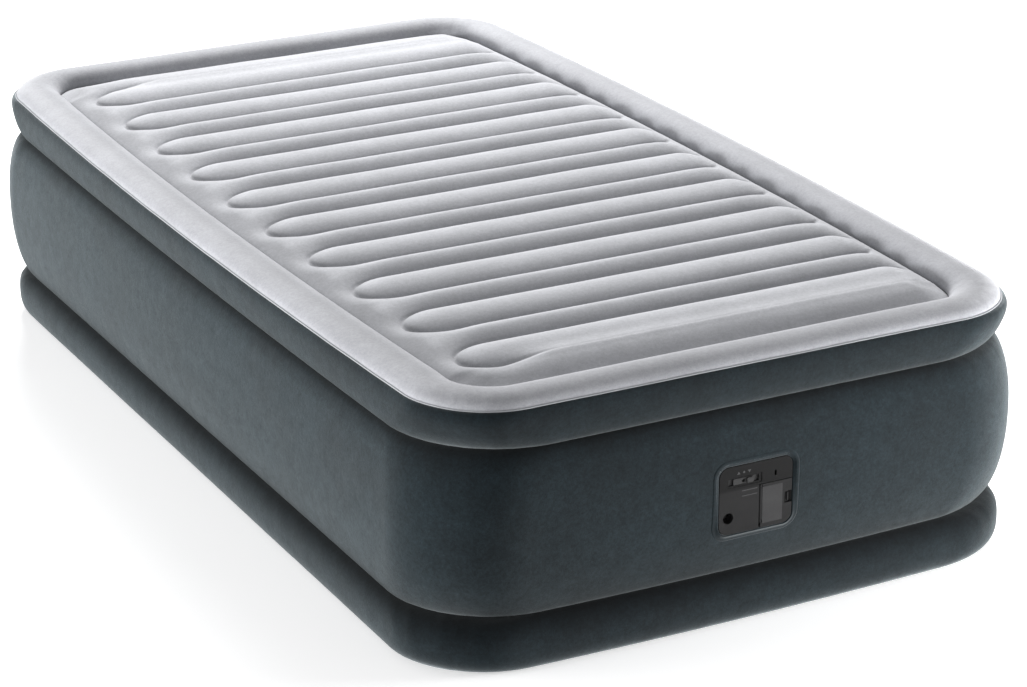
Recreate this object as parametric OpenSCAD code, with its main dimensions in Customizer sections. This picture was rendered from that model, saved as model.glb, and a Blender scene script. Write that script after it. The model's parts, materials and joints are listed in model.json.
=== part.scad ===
// Raised single air mattress with a built-in electric pump.
// X across the bed, Y along it with the pump at the -Y end, Z up, origin on the floor under the middle.

/* [Mattress] */
// Width over the tall wall
width = 990; // [900:10:1100]
// Length over the tall wall
length = 1784; // [1750:2:2000]
// Height to the crest of the rim
height = 405; // [400:5:440]
// Thickness that stands for the flocked skin
skin = 2; // [1.5:0.25:3]

/* [Tiers] */
// Height of the crease over the base band
lower_groove_z = 79; // [70:1:90]
// Depth of the rim band, from the crest to the crease below it
rim_band_h = 79; // [70:1:85]
// Height of the light cover's weld below the crest
weld_drop = 18; // [12:1:22]
// How far the base band bulges out of the crease over it
base_bulge = 21; // [12:1:25]
// How far the tall wall bulges out of its creases
wall_bulge = 27; // [15:1:28]
// Width of the raised rim round the sleeping surface
rim_w = 69; // [60:1:75]

/* [Ribs] */
// Number of wide ribs across the sleeping surface
ribs = 10; // [10:1:10]
// Width of a wide rib
rib_w = 88; // [80:1:92]
// Rise of a wide rib over the border
rib_rise = 15; // [10:1:18]
// Rise of the narrow strip between two ribs
strip_rise = 5; // [3:1:7]
// Length of a wide rib, end to end
rib_l = 752; // [680:4:760]
// Distance from one wide rib to the next
rib_pitch = 152; // [146:1:153]
// Place of the rib nearest the pump, from the middle of the bed
first_rib_y = -697; // [-710:1:-680]

/* [Pump] */
// Width of the pump's front panel
panel_w = 116; // [112:1:116]
// Height of the pump's front panel
panel_h = 99; // [95:1:99]
// Depth of the pump behind the wall
pump_depth = 120; // [120:1:130]
// Height of the middle of the pump
pump_z = 196; // [190:1:205]
// Place of the middle of the pump across the bed
pump_x = -1; // [-20:1:20]
// Travel of the mode knob each way from off
knob_travel = 6; // [4:0.5:6]

/* [Hidden] */
$fn = 48;
eps = 0.01;
fit = 0.3;
running_fit = 0.05;
arc_steps = 14;
fabric_light = [0.80, 0.81, 0.83];
fabric_dark = [0.25, 0.30, 0.32];
inner_film = [0.55, 0.58, 0.60];
plastic_dark = [0.22, 0.22, 0.22];
plastic_grey = [0.45, 0.45, 0.44];
black_rubber = [0.08, 0.08, 0.08];
steel = [0.66, 0.67, 0.69];
copper = [0.72, 0.45, 0.25];
bronze = [0.70, 0.55, 0.30];

// heights of the welds and creases
upper_groove_z = height - rim_band_h;
weld_z = height - weld_drop;
border_z = height - 15;
wall_mid_z = (upper_groove_z + lower_groove_z) / 2;
wall_half_h = (upper_groove_z - lower_groove_z) / 2;
// half widths at each level, and the radius of the corners there
long_extra = (length - width) / 2;
upper_out = 4;
groove_hx = width / 2 - wall_bulge - upper_out / 2;
upper_hx = groove_hx + upper_out;
weld_hx = width / 2 - 14;
crease_hx = weld_hx - rim_w;
base_hx = groove_hx + base_bulge;
base_r = 126;
groove_r = 150;
upper_r = groove_r + upper_out;
weld_r = 122;
top_band_bulge = 10;
wall_flatness = 2.6;
base_flatness = 2.6;
base_end_angle = 78.75;
seam_t = 1.6;
weld_strip_w = 12;
side_strip_w = 36;
sheet_back = 25;
girdle_back = 18;
weld_strip_t = 1.2;
// pump, from the middle of its front face: X right, Y into the bed, Z up
panel_r = 14;
panel_t = 2.5;
case_wall = 2.2;
front_y = -(width / 2 + long_extra - 1);
flange_lip = 9;
skirt_w = 8;
lid_left = 6;
lid_top = 15;
lid_t = 2.2;
hinge_x = lid_left + 2;
hinge_y = 2;
hinge_r = 2;
pin_r = 0.8;
knuckle_low = [-42, -38.3];
knuckle_high = [10.3, 14];
notch_x = 46;
notch_z = [-20.5, -3];
slot_x = -19.5;
slot_z = 26.5;
slot_l = 48;
slot_h = 9.4;
knob_l = 33;
port_at = [-43.5, -25.5];
port_r = 8;
fan_at = [-24, -15];
fan_r = 23;
scroll_r = 28.5;
shaft_r = 1.6;
can_r = 19.5;
duct_x = [-46, 6];
duct_z = [18, 42];
window = [5, 14];
bay_x = [5.2, 53.4];
bay_z = [-45, 16];
bay_y = [4.6, 92];
bay_wall = 1.6;
rear_port = [-20, 30];
rear_port_r = 10;
flap_hinge_z = 45;
flap_hinge_y = pump_depth + 2.6;
gland_at = [30, -15];
boss_r = 31;

// ---- shapes that repeat ----

// One level of the mattress: a rounded rectangle of points at height z
function level(hx, r, z) = [for (q = [0:3], k = [0:arc_steps])
    let (a = 90 * (q + k / arc_steps), sx = (q == 0 || q == 3) ? 1 : -1, sy = q < 2 ? 1 : -1)
    [sx * (hx - r) + r * cos(a), sy * (hx + long_extra - r) + r * sin(a), z]];

// A closed skin through a loop of levels, each [half width, corner radius, height]
module level_skin(levels) {
    n = len(levels);
    m = 4 * (arc_steps + 1);
    points = [for (g = levels) each level(g[0], g[1], g[2])];
    faces = [for (i = [0:n - 1], j = [0:m - 1])
        let (a = i * m + j, b = i * m + (j + 1) % m, c = ((i + 1) % n) * m + (j + 1) % m,
            d = ((i + 1) % n) * m + j)
        each [[a, d, c], [a, c, b]]];
    polyhedron(points, faces);
}

// The profile in children(), with X from the corners' axes, swept round a rectangle of corner axes
module sweep_round(axis_x, axis_y) {
    for (q = [0:3]) {
        a = q % 2 == 0 ? axis_x : axis_y;
        b = q % 2 == 0 ? axis_y : axis_x;
        rotate([0, 0, 90 * q]) translate([a, b, 0]) {
            rotate_extrude(angle = 90) children();
            rotate([90, 0, 0]) linear_extrude(2 * b) children();
        }
    }
}

// Power of a cosine or sine that keeps its sign, for a superellipse
function bent(v, p) = sign(v) * pow(abs(v), 2 / p);

// A rectangle with round corners, centred
module rounded(w, h, r) {
    square([w - 2 * r, h], center = true);
    square([w, h - 2 * r], center = true);
    for (sx = [-1, 1], sy = [-1, 1]) translate([sx * (w / 2 - r), sy * (h / 2 - r)]) circle(r);
}

// A flat sheet over the bed's plan at one height
module plan_sheet(hx, r, z, t) {
    translate([0, 0, z]) linear_extrude(t) rounded(2 * hx, 2 * (hx + long_extra), r);
}

// A slab behind the pump's face: children() is its front view
module slab(y0, y1) {
    translate([0, y1, 0]) rotate([90, 0, 0]) linear_extrude(y1 - y0) children();
}

// A box from its two corners
module block(x, y, z) {
    translate([x[0], y[0], z[0]]) cube([x[1] - x[0], y[1] - y[0], z[1] - z[0]]);
}

// A rod along Y at a place on the pump's face
module rod_y(at, r, y0, y1) {
    translate([at[0], y1, at[1]]) rotate([90, 0, 0]) cylinder(h = y1 - y0, r = r);
}

module at_pump() {
    translate([pump_x, front_y, pump_z]) children();
}

// ---- mattress skins ----

// Upper part of a circle that stands on a chord
module crown(chord, rise) {
    r = (chord * chord / 4 + rise * rise) / (2 * rise);
    intersection() {
        translate([0, rise - r]) circle(r, $fn = 96);
        translate([-chord / 2, 0]) square([chord, rise]);
    }
}

module crown_skin(chord, rise) {
    r = (chord * chord / 4 + rise * rise) / (2 * rise);
    difference() {
        crown(chord, rise);
        translate([0, rise - r]) circle(r - skin, $fn = 96);
    }
}

// A long dome across the bed with round ends
module rib_dome(l, chord, rise) {
    straight = l - chord;
    rotate([90, 0, 90]) linear_extrude(straight, center = true) crown_skin(chord, rise);
    for (s = [0, 1]) rotate([0, 0, 180 * s]) translate([straight / 2, 0, 0]) rotate([0, 0, -90])
        rotate_extrude(angle = 180) intersection() {
            crown_skin(chord, rise);
            square([chord, rise]);
        }
}

module rib_plan(l, chord) {
    square([l - chord, chord], center = true);
    for (s = [-1, 1]) translate([s * (l - chord) / 2, 0]) circle(chord / 2, $fn = 96);
}

function rib_y(i) = first_rib_y + rib_pitch * i;

// Profile of the raised rim: its outer foot stands on the weld and its inner foot on the border
module rim_arch() {
    steps = 16;
    function edge(k, inset) = let (a = 180 * k / steps, foot = a < 90 ? weld_z + seam_t / 2 : border_z)
        [weld_r - rim_w / 2 + (rim_w / 2 - inset) * cos(a),
            foot + (height - foot - inset) * sin(a)];
    polygon(concat([for (k = [0:steps]) edge(k, 0)], [for (k = [steps:-1:0]) edge(k, skin)]));
}

module top_sheet() {
    color(fabric_light) {
        sweep_round(weld_hx - weld_r, weld_hx + long_extra - weld_r) rim_arch();
        difference() {
            plan_sheet(crease_hx + skin, weld_r - rim_w + skin, border_z - skin + eps, skin);
            for (i = [0:ribs - 1]) translate([0, rib_y(i), border_z - 2 * skin])
                linear_extrude(3 * skin) rib_plan(rib_l - 2 * skin, rib_w - 2 * skin);
        }
        for (i = [0:ribs - 1]) translate([0, rib_y(i), border_z - 1]) rib_dome(rib_l, rib_w, rib_rise);
    }
    strip_w = rib_pitch - rib_w;
    color(fabric_light) for (i = [0:ribs - 2]) translate([0, rib_y(i) + rib_pitch / 2, border_z - 1])
        rib_dome(rib_l - strip_w, strip_w, strip_rise);
}

module top_band() {
    steps = 8;
    function out(t) = top_band_bulge * pow(1 - pow(abs(2 * t - 1), 2.4), 1 / 2.4);
    top_z = weld_z - seam_t / 2;
    function ring(k, inset) = let (t = (1 - cos(180 * k / steps)) / 2)
        [upper_hx + (weld_hx - upper_hx) * t + out(t) - inset,
            upper_r + (weld_r - upper_r) * t - inset, upper_groove_z + (top_z - upper_groove_z) * t];
    color(fabric_dark) level_skin(concat([for (k = [0:steps]) ring(k, 0)],
        [for (k = [steps:-1:0]) ring(k, skin)]));
}

// Profile of the tall wall, measured from the corners' axes
module wall_profile() {
    steps = 20;
    function edge(k, inset) = let (a = 90 - 180 * k / steps, s = bent(sin(a), wall_flatness),
        z = wall_mid_z + wall_half_h * s)
        [groove_r + upper_out * (1 + s) / 2 + wall_bulge * bent(cos(a), wall_flatness) - inset, z];
    polygon(concat([for (k = [0:steps]) edge(k, 0)], [for (k = [steps:-1:0]) edge(k, skin)]));
}

module middle_wall() {
    color(fabric_dark) difference() {
        sweep_round(groove_hx - groove_r, groove_hx + long_extra - groove_r) wall_profile();
        at_pump() slab(-10, 20) rounded(panel_w + 2 * flange_lip + 2 * fit,
            panel_h + 2 * flange_lip + 2 * fit, panel_r + flange_lip + fit);
    }
}

module base_band() {
    steps = 15;
    mid_z = (lower_groove_z + skin) / 2;
    half_h = (lower_groove_z - skin) / 2;
    function ring(k, inset) = let (a = 90 - (90 + base_end_angle) * k / steps)
        [groove_hx + (base_bulge - inset) * bent(cos(a), base_flatness),
            groove_r + (base_r - groove_r) * k / steps - inset / 2,
            mid_z + (half_h - inset) * bent(sin(a), base_flatness)];
    color(fabric_dark) level_skin(concat([for (k = [0:steps]) ring(k, 0)],
        [for (k = [steps:-1:0]) ring(k, skin)]));
}

module bottom_sheet() {
    color(fabric_dark) plan_sheet(base_hx - 10, base_r - 10, 0, skin);
}

// Inner sheet between the comfort layer and the deep chamber, with holes that let the air even out
module comfort_sheet() {
    color(inner_film) difference() {
        plan_sheet(upper_hx - sheet_back, upper_r - sheet_back, upper_groove_z - skin, skin);
        for (x = [-1, 1], i = [0:ribs - 2])
            translate([x * 300, rib_y(i) + rib_pitch / 2, upper_groove_z - 10]) cylinder(h = 20, r = 20);
    }
}

// Ring of film that holds the lower crease in
module lower_girdle() {
    color(inner_film) difference() {
        plan_sheet(groove_hx - girdle_back, groove_r - girdle_back, lower_groove_z - skin / 2, skin);
        plan_sheet(groove_hx - 60, groove_r - 60, lower_groove_z - skin, 3 * skin);
    }
}

// A flat weld strip round the bed at one level
module seam_strip(hx, r, z, w, h) {
    sweep_round(hx - r, hx + long_extra - r) translate([r - w, z]) square([w, h]);
}

module rim_seam() {
    color(fabric_light) seam_strip(weld_hx + 1.5, weld_r + 1.5, weld_z - seam_t / 2, 3.5, seam_t);
}

module upper_seam() {
    color(fabric_dark) seam_strip(upper_hx - skin, upper_r - skin, upper_groove_z,
        side_strip_w, weld_strip_t);
}

module lower_seam() {
    color(fabric_dark) seam_strip(groove_hx - skin, groove_r - skin, lower_groove_z + skin / 2,
        side_strip_w, weld_strip_t);
}

module bottom_seam() {
    foot_out = (base_bulge - skin) * bent(cos(base_end_angle), base_flatness);
    color(fabric_dark) seam_strip(groove_hx + foot_out - 1.4, base_r - skin, skin,
        weld_strip_w, weld_strip_t);
}

// Short ties from the creases on both sides of each rib down to the comfort sheet
module crease_ties() {
    tie_l = rib_l - rib_w;
    color(inner_film) for (i = [0:ribs - 1], s = [-1, 1])
        translate([-tie_l / 2, rib_y(i) + s * (rib_w / 2 + 2) - 0.5, upper_groove_z])
            cube([tie_l, 1, border_z - skin - upper_groove_z]);
}

// Upright fibre beam under a rib, between the comfort sheet and the bottom sheet
module fibre_beam(i) {
    half_l = groove_hx - 60;
    color(inner_film) translate([-half_l, rib_y(i) - 1, skin])
        cube([2 * half_l, 2, upper_groove_z - 2 * skin]);
}

// ---- pump: casing and front ----

module ring_slab(grow_out, grow_in, y0, y1) {
    slab(y0, y1) difference() {
        rounded(panel_w + 2 * grow_out, panel_h + 2 * grow_out, panel_r + grow_out);
        rounded(panel_w + 2 * grow_in, panel_h + 2 * grow_in, panel_r + grow_in);
    }
}

// Soft ring welded into the wall, with a skirt behind it
module mounting_flange() {
    color(fabric_dark) at_pump() {
        ring_slab(flange_lip, 0.8, -1, 6);
        ring_slab(flange_lip + skirt_w, 0.8, 6, 7.6);
    }
}

module housing_gasket() {
    color(black_rubber) at_pump() ring_slab(11, 0.2, 7.6, 8.8);
}

module pump_housing() {
    color(plastic_dark) at_pump() difference() {
        union() {
            slab(panel_t, pump_depth) rounded(panel_w, panel_h, panel_r);
            slab(8.8, 10.8) rounded(panel_w + 22, panel_h + 22, panel_r + 11);
            for (s = [-1, 1]) block([rear_port[0] + s * 7 - 2, rear_port[0] + s * 7 + 2],
                [pump_depth - eps, flap_hinge_y + 2], [flap_hinge_z - 2.2, flap_hinge_z + 2.2]);
        }
        slab(0, pump_depth - case_wall)
            rounded(panel_w - 2 * case_wall, panel_h - 2 * case_wall, panel_r - case_wall);
        rod_y(rear_port, rear_port_r, pump_depth - 5, pump_depth + 5);
        translate([rear_port[0] - 10, flap_hinge_y, flap_hinge_z]) rotate([0, 90, 0])
            cylinder(h = 20, r = pin_r);
    }
}

module lid_area(grow) {
    block([lid_left - grow, panel_w], [-10, 60], [-panel_h, lid_top + grow]);
}

// Fixed part of the front: the control strip and the left half
module front_panel() {
    color(plastic_dark) at_pump() difference() {
        union() {
            slab(0, panel_t) rounded(panel_w, panel_h, panel_r);
            ring_slab(-case_wall - fit, -case_wall - 1.8, panel_t - eps, 7);
            rod_y(port_at, port_r + 1.6, panel_t - eps, 12);
            for (s = [-1, 1]) translate([slot_x - 32, panel_t - eps, slot_z + s * 7.8 - 0.8])
                cube([64, 3, 1.6]);
        }
        lid_area(0.8);
        translate([slot_x, 0, slot_z]) slab(-1, 5) square([slot_l, slot_h], center = true);
        translate([slot_x, 0, slot_z]) slab(-1, 0.8) rounded(slot_l + 10, slot_h + 6, 3);
        rod_y(port_at, port_r, -1, 13);
        translate([31, 0, 28]) slab(-1, 5) rounded(3, 8, 1.4);
    }
}

// Finger guard inside the air port
module port_grille() {
    color(plastic_dark) at_pump() difference() {
        rod_y(port_at, port_r, 9, 11);
        for (a = [0:60:300]) translate([port_at[0] + 4.6 * cos(a), 0, port_at[1] + 4.6 * sin(a)])
            rod_y([0, 0], 1.9, 8, 12);
    }
}

// Box behind the lid where the mains cord is kept
module cord_bay() {
    color(plastic_dark) at_pump() difference() {
        union() {
            slab(bay_y[0], bay_y[1]) bay_outline(0);
            for (k = [knuckle_low, knuckle_high]) {
                translate([hinge_x, hinge_y, k[0]]) cylinder(h = k[1] - k[0], r = hinge_r);
                block([hinge_x - hinge_r, hinge_x + 1], [hinge_y, bay_y[0] + 1], k);
            }
        }
        slab(bay_y[0] - eps, bay_y[1] - bay_wall) bay_outline(bay_wall);
        translate([hinge_x, hinge_y, -panel_h / 2]) cylinder(h = panel_h, r = pin_r);
        rod_y(gland_at, 5, bay_y[1] - 5, bay_y[1] + 5);
    }
}

module bay_outline(inset) {
    intersection() {
        translate([bay_x[0] + inset, bay_z[0] + inset])
            square([bay_x[1] - bay_x[0] - 2 * inset, bay_z[1] - bay_z[0] - 2 * inset]);
        rounded(panel_w - 2 * case_wall - 0.8 - 2 * inset, panel_h - 2 * case_wall - 0.6 - 2 * inset,
            panel_r - case_wall - 0.4 - inset);
    }
}

module cord_lid() {
    color(plastic_grey) at_pump() difference() {
        union() {
            intersection() {
                slab(0, lid_t) rounded(panel_w - 0.6, panel_h - 0.6, panel_r - fit);
                block([hinge_x, panel_w], [-1, lid_t + 1], [-panel_h, lid_top - fit]);
            }
            translate([hinge_x, hinge_y, knuckle_low[1] + fit])
                cylinder(h = knuckle_high[0] - knuckle_low[1] - 2 * fit, r = hinge_r);
            for (z = [notch_z[0] - 1.1, notch_z[1] - 0.8])
                block([notch_x - 3, notch_x + 5.5], [lid_t - eps, 4.3], [z, z + 1.6]);
        }
        for (k = [knuckle_low, knuckle_high])
            block([hinge_x - 3, hinge_x + hinge_r + fit], [-1, 5], [k[0] - fit, k[1] + fit]);
        translate([hinge_x, hinge_y, -panel_h / 2]) cylinder(h = panel_h, r = pin_r + running_fit);
        block([notch_x, panel_w], [-1, 3], notch_z);
    }
}

module lid_hinge_pin() {
    color(steel) at_pump() translate([hinge_x, hinge_y, knuckle_low[0]])
        cylinder(h = knuckle_high[1] - knuckle_low[0], r = pin_r);
}

// Sliding tab in the lid's finger notch
module lid_latch() {
    color(plastic_dark) at_pump() {
        block([notch_x - 1, bay_x[1]], [lid_t + fit, 4.1], [notch_z[0] + 0.9, notch_z[1] - 1.2]);
        block([notch_x + 4.6, notch_x + 7.1], [0.6, lid_t + 1], [notch_z[0] + 2.5, notch_z[1] - 2.5]);
    }
}

module blank_label() {
    color([0.62, 0.62, 0.60]) at_pump() block([10.5, 42.5], [-0.3, 0], [-43.5, 10.5]);
}

module cord_gland() {
    color(black_rubber) at_pump() difference() {
        union() {
            rod_y(gland_at, 5, bay_y[1] - 4, bay_y[1] + 6);
            rod_y(gland_at, 7.5, bay_y[1] - 3.6, bay_y[1] - bay_wall);
            rod_y(gland_at, 7.5, bay_y[1], bay_y[1] + 2);
        }
        rod_y(gland_at, 3.2, bay_y[1] - 10, bay_y[1] + 10);
    }
}

// ---- pump: mode slide and valve ----

module mode_knob() {
    color(plastic_grey) at_pump() translate([slot_x, 0, slot_z]) difference() {
        union() {
            slab(0.4, 4) rounded(knob_l, slot_h - 0.8, 1.5);
            slab(3.2, 4.8) square([knob_l + 3 * knob_travel, 13], center = true);
            translate([9, 0, 0]) slab(-2, 1) rounded(9, 7.4, 1.2);
            for (x = [-10, 4]) translate([x, 0, 0]) slab(4.7, 7) square([5, 8], center = true);
        }
        translate([-0.5, 0.9, 0]) sphere(2.6);
    }
}

// Plate that opens the inflate or the deflate window
module valve_slide() {
    color(plastic_grey) at_pump() difference() {
        union() {
            block([slot_x - 24.5, slot_x + 24.5], [7, 9.4], [duct_z[0] + 1.5, duct_z[1] - 2.5]);
            block([slot_x + 24, slot_x + 45], [7, 9.4], [28, 34]);
        }
        for (s = [-1, 1]) translate([slot_x + s * 12, 8, (duct_z[0] + duct_z[1]) / 2 - 0.5])
            cube([window[0], 6, window[1]], center = true);
    }
}

// Finger on the valve slide that works the switch
module switch_lever() {
    color(bronze) at_pump() block([slot_x + 40, slot_x + 43], [9.4, 14.6], [29.6, 32.4]);
}

// Seal plate with the two windows that the slide covers
module valve_seat() {
    color(black_rubber) at_pump() difference() {
        block(duct_x, [9.8, 12], duct_z);
        for (s = [-1, 1]) translate([slot_x + s * (12 + knob_travel), 11, (duct_z[0] + duct_z[1]) / 2 - 0.5])
            cube([window[0], 6, window[1]], center = true);
    }
}

// Duct from the valve to the port in the back of the casing, open below to the fan's outlet
module valve_duct() {
    wall = 1.4;
    y1 = pump_depth - case_wall;
    color(plastic_dark) at_pump() difference() {
        block(duct_x, [12, y1], duct_z);
        block([duct_x[0] + wall, slot_x - wall / 2], [11, y1 + 1], [duct_z[0] + wall, duct_z[1] - wall]);
        block([slot_x + wall / 2, duct_x[1] - wall], [11, y1 + 1], [duct_z[0] + wall, duct_z[1] - wall]);
        block([slot_x - 5, slot_x + 5], [60, y1 + 1], [duct_z[0] + wall, duct_z[1] - wall]);
        block([-5, 3], [24, 40], [duct_z[0] - 1, duct_z[0] + 4]);
    }
}

module slide_switch() {
    color(black_rubber) at_pump() difference() {
        block([12, 34], [12, 28], [20, 42]);
        block([13.4, 32.6], [11, 15.4], [28.8, 33.2]);
    }
}

// ---- pump: fan and motor ----

module at_fan() {
    at_pump() translate([fan_at[0], 0, fan_at[1]]) children();
}

module volute() {
    color(plastic_dark) at_fan() difference() {
        union() {
            rod_y([0, 0], scroll_r, 22, 42);
            block([17, 28.5], [22, 42], [0, duct_z[0] - fan_at[1]]);
            for (a = [45:90:315]) rod_y(boss_r * [cos(a), sin(a)], 3, 22, 34);
        }
        rod_y([0, 0], scroll_r - 1.5, 21, 40.5);
        block([18.5, 27], [21, 40.5], [2, 60]);
        rod_y([0, 0], 4, 40, 43);
        for (a = [45:90:315]) rod_y(boss_r * [cos(a), sin(a)], 1.25, 21, 32);
    }
}

module volute_cover() {
    color(plastic_dark) at_fan() difference() {
        union() {
            rod_y([0, 0], scroll_r, 20.5, 22);
            block([17, 28.5], [20.5, 22], [0, duct_z[0] - fan_at[1]]);
            for (a = [45:90:315]) rod_y(boss_r * [cos(a), sin(a)], 3, 20.5, 22);
        }
        rod_y([0, 0], 11, 20, 23);
        for (a = [45:90:315]) rod_y(boss_r * [cos(a), sin(a)], 1.25, 20, 23);
    }
}

module volute_screws() {
    color(steel) at_fan() for (a = [45:90:315]) {
        rod_y(boss_r * [cos(a), sin(a)], 1.25, 20.5, 31);
        rod_y(boss_r * [cos(a), sin(a)], 2.4, 18.9, 20.5);
    }
}

module impeller() {
    blades = 9;
    color(plastic_grey) at_fan() difference() {
        union() {
            rod_y([0, 0], fan_r, 37.8, 39);
            rod_y([0, 0], 5, 26, 38);
            for (k = [0:blades - 1]) rotate([0, 360 * k / blades, 0]) slab(25, 38) intersection() {
                difference() {
                    translate([13, 8]) circle(11.6);
                    translate([13, 8]) circle(10.4);
                }
                translate([4, -3]) square([18, 12]);
            }
        }
        rod_y([0, 0], shaft_r, 20, 45);
    }
}

module motor_shaft() {
    color(steel) at_fan() rod_y([0, 0], shaft_r, 25.5, 106);
}

module rotor_core() {
    color(steel) at_fan() difference() {
        rod_y([0, 0], 12, 58, 84);
        rod_y([0, 0], shaft_r, 50, 90);
        for (a = [0:36:324]) rod_y(10 * [cos(a), sin(a)], 1.2, 50, 90);
    }
}

module commutator() {
    color(copper) at_fan() difference() {
        rod_y([0, 0], 6, 87, 96);
        rod_y([0, 0], shaft_r, 80, 100);
    }
}

module motor_can() {
    color(steel) at_fan() difference() {
        rod_y([0, 0], can_r, 46, 100);
        rod_y([0, 0], can_r - 1.2, 47.2, 101);
        rod_y([0, 0], 4, 40, 50);
    }
}

module motor_end_cap() {
    color(plastic_dark) at_fan() difference() {
        rod_y([0, 0], can_r, 100, 104);
        rod_y([0, 0], 4, 99, 105);
    }
}

module shaft_bushes() {
    color(bronze) at_fan() for (y = [[45, 50], [99, 104]]) difference() {
        rod_y([0, 0], 4, y[0], y[1]);
        rod_y([0, 0], shaft_r + running_fit, y[0] - 1, y[1] + 1);
    }
}

// Laminated field with its two poles round the rotor
module field_core() {
    color(copper) at_fan() difference() {
        rod_y([0, 0], can_r - 1.2, 58, 84);
        rod_y([0, 0], 12.6, 57, 85);
        for (s = [-1, 1]) block([s * 12.5 - 3.5, s * 12.5 + 3.5], [57, 85], [-7, 7]);
    }
}

module carbon_brushes() {
    color(black_rubber) at_fan() for (s = [0, 180]) rotate([0, s, 0])
        block([6.3, 14], [89, 94], [-2.5, 2.5]);
}

module motor_mount() {
    color(black_rubber) at_fan() difference() {
        rod_y([0, 0], 17, 42, 46);
        rod_y([0, 0], 8, 41, 47);
    }
}

// Saddle that holds the motor to the floor of the casing
module motor_bracket() {
    floor_z = -panel_h / 2 + case_wall - fan_at[1];
    color(plastic_dark) at_fan() difference() {
        union() {
            rod_y([0, 0], can_r + 2.4, 66, 78);
            block([-14, 14], [66, 78], [floor_z, -8]);
        }
        rod_y([0, 0], can_r, 65, 79);
    }
}

module rear_port_seal() {
    color(black_rubber) at_pump() difference() {
        rod_y(rear_port, 13, pump_depth, pump_depth + 1.6);
        rod_y(rear_port, rear_port_r, pump_depth - 1, pump_depth + 3);
    }
}

// Flap that shuts the back port when the pump stops
module check_flap() {
    color(black_rubber) at_pump() difference() {
        union() {
            rod_y(rear_port, 11.4, pump_depth + 1.9, pump_depth + 3.4);
            block([rear_port[0] - 4.6, rear_port[0] + 4.6], [pump_depth + 1.9, pump_depth + 3.4],
                [rear_port[1] + 8, flap_hinge_z]);
            translate([rear_port[0] - 4.6, flap_hinge_y, flap_hinge_z]) rotate([0, 90, 0])
                cylinder(h = 9.2, r = 1.8);
        }
        translate([rear_port[0] - 10, flap_hinge_y, flap_hinge_z]) rotate([0, 90, 0])
            cylinder(h = 20, r = pin_r + running_fit);
    }
}

module flap_pin() {
    color(steel) at_pump() translate([rear_port[0] - 9, flap_hinge_y, flap_hinge_z]) rotate([0, 90, 0])
        cylinder(h = 18, r = pin_r);
}

module thermal_cutout() {
    color(plastic_dark) at_fan() translate([0, 56, can_r]) cylinder(h = 5, r = 5);
}

// A wire with round bends through a few places, as [x, y, z] from the pump's face
module wire(route, r) {
    for (i = [0:len(route) - 2]) {
        step = route[i + 1] - route[i];
        turn = acos(step[2] / norm(step));
        translate(route[i]) rotate([0, turn, atan2(step[1], step[0])]) cylinder(h = norm(step), r = r);
        if (i > 0) translate(route[i]) sphere(1.06 * r);
    }
}

// Inner leads: gland to switch, and switch to motor
module lead_wires() {
    color(copper) at_pump() {
        wire([[gland_at[0], 98, gland_at[1]], [gland_at[0], 103, -10], [gland_at[0], 103, 26],
            [gland_at[0], 28, 26]], 1.1);
        wire([[16, 28.2, 24], [16, 108, 24], [-6, 108, -4], [-14, 105.4, -9.8]], 1.1);
    }
}

top_sheet();
top_band();
middle_wall();
base_band();
bottom_sheet();
comfort_sheet();
lower_girdle();
rim_seam();
upper_seam();
lower_seam();
bottom_seam();
crease_ties();
fibre_beam(0);  // beam_01
fibre_beam(1);  // beam_02
fibre_beam(2);  // beam_03
fibre_beam(3);  // beam_04
fibre_beam(4);  // beam_05
fibre_beam(5);  // beam_06
fibre_beam(6);  // beam_07
fibre_beam(7);  // beam_08
fibre_beam(8);  // beam_09
fibre_beam(9);  // beam_10
mounting_flange();
housing_gasket();
pump_housing();
front_panel();
port_grille();
cord_bay();
cord_lid();
lid_hinge_pin();
lid_latch();
blank_label();
cord_gland();
mode_knob();
valve_slide();
switch_lever();
valve_seat();
valve_duct();
slide_switch();
volute();
volute_cover();
volute_screws();
impeller();
motor_shaft();
rotor_core();
commutator();
motor_can();
motor_end_cap();
shaft_bushes();
field_core();
carbon_brushes();
motor_mount();
motor_bracket();
rear_port_seal();
check_flap();
flap_pin();
thermal_cutout();
lead_wires();
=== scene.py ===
"""Raised air mattress with a built-in pump: its looks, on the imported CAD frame.

Lengths are in mm until a mesh is made.
"""

import json
import math

import bpy
import numpy as np
from mathutils import Matrix, Vector


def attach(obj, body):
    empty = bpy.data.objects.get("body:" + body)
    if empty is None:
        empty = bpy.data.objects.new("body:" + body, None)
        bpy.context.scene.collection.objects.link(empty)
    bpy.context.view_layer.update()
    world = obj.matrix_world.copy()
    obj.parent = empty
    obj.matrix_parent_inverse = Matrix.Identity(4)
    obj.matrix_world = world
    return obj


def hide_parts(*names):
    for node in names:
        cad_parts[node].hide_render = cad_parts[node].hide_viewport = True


MM = 0.001
TAU = 2 * math.pi
scene = bpy.context.scene
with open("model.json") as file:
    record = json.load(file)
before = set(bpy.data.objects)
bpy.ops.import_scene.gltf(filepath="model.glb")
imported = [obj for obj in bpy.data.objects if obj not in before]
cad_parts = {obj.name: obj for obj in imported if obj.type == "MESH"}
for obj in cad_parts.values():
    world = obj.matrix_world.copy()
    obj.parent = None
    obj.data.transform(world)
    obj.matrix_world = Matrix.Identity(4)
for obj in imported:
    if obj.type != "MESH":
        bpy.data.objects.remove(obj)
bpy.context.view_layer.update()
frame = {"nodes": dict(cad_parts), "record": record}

# levels of the bed: half width, corner radius, height
LONG = 397.0  # half length less half width
WELD = (481.0, 122.0, 387.0)
RIM_FOOT = (412.0, 58.0, 382.0)
UPPER = (472.0, 166.0, 326.0)
LOWER = (464.0, 156.0, 79.0)
WALL = (495.0, 142.0)
BASE = (485.0, 125.0)
CREST_Z = 405.0
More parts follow.
